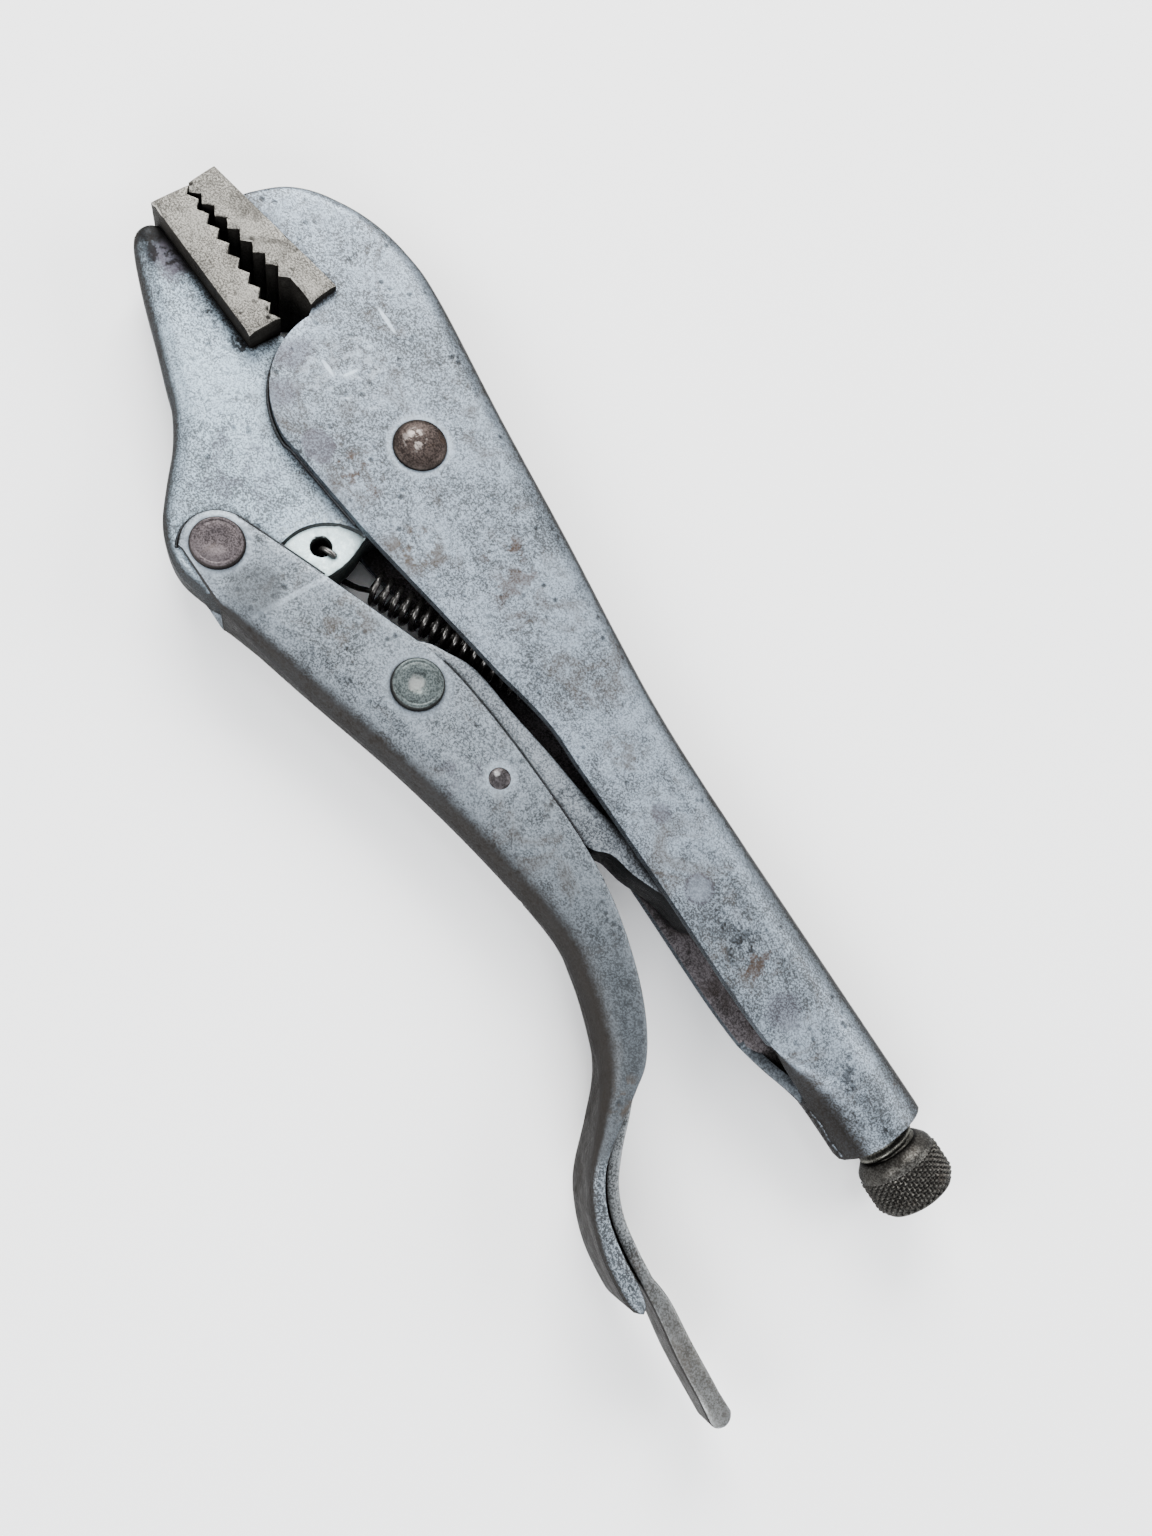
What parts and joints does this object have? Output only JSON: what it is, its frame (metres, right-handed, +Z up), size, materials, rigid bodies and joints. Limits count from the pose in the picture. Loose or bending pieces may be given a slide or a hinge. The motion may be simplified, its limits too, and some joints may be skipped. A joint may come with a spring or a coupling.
{
  "type": "locking pliers",
  "caption": "Locking pliers with straight toothed jaws, folded steel handles, toggle link, release lever, tension spring and a knurled adjusting screw, shut and locked.",
  "frame": {"origin": "axis of the main jaw rivet, at the outer face of its lower head, level with the surface the tool lies on", "axes": "+X along the adjusting screw towards its knob, +Y towards the back of the upper handle, +Z up, along the rivets, from the side the tool lies on to the other side"},
  "size_m": [0.2547, 0.0816, 0.02],
  "materials": {
    "handle_steel": "grainy galvanised steel, worn",
    "jaw_plate_steel": "grainy galvanised steel, worn",
    "jaw_block_steel": "pitted hardened steel",
    "main_rivet_steel": "rusty domed head",
    "handle_rivet_steel": "worn flat head",
    "link_rivet_steel": "worn flat head",
    "pin_steel": "dull",
    "link_steel": "grainy galvanised steel",
    "lever_steel": "worn dark steel",
    "spring_steel": "oiled black wire",
    "screw_steel": "worn bright thread",
    "knob_steel": "dark knurled steel"
  },
  "bodies": {
    "upper_handle": {"upper_handle_shell": "handle_steel", "upper_jaw_block": "jaw_block_steel", "main_pivot_rivet": "main_rivet_steel"},
    "lower_jaw": {"lower_jaw_plate": "jaw_plate_steel", "lower_jaw_block": "jaw_block_steel", "tension_spring": "spring_steel"},
    "lower_handle": {"lower_handle_channel": "handle_steel", "jaw_handle_rivet": "handle_rivet_steel", "link_rivet": "link_rivet_steel", "release_lever_pin": "pin_steel"},
    "toggle_link": {"toggle_link": "link_steel"},
    "release_lever": {"release_lever": "lever_steel"},
    "screw_ring": {"screw_retainer": "screw_steel"},
    "adjusting_screw": {"adjusting_screw": "screw_steel", "knurled_knob": "knob_steel"}
  },
  "joints": [
    {"name": "jaw_pivot", "type": "hinge", "parent": "upper_handle", "child": "lower_jaw", "pos_m": [0, 0, 0.01], "axis": [0, 0, 1], "range_deg": [0, 20], "deforming": ["tension_spring"]},
    {"name": "handle_pivot", "type": "hinge", "parent": "lower_jaw", "child": "lower_handle", "pos_m": [-0.0011, -0.0443, 0.01], "axis": [0, 0, 1], "range_deg": [-56.1, 0]},
    {"name": "link_pivot", "type": "hinge", "parent": "lower_handle", "child": "toggle_link", "pos_m": [0.041, -0.0272, 0.01], "axis": [0, 0, 1], "range_deg": [0, 61.9]},
    {"name": "release_lever_pivot", "type": "hinge", "parent": "lower_handle", "child": "release_lever", "pos_m": [0.0644, -0.0239, 0.01], "axis": [0, 0, 1], "range_deg": [0, 5]},
    {"name": "screw_feed", "type": "slide", "parent": "upper_handle", "child": "screw_ring", "axis": [1, 0, 0], "range_m": [0, 0.018]},
    {"name": "screw_turn", "type": "hinge", "parent": "screw_ring", "child": "adjusting_screw", "pos_m": [0.17, 0.003, 0.01], "axis": [1, 0, 0], "range_deg": [0, 3240]}
  ],
  "couplings": [
    {"joint": "handle_pivot", "follows": "jaw_pivot", "ratio": -2.8058},
    {"joint": "link_pivot", "follows": "jaw_pivot", "ratio": 3.0945},
    {"joint": "screw_turn", "follows": "screw_feed", "rad_per_m": 3141.6}
  ]
}
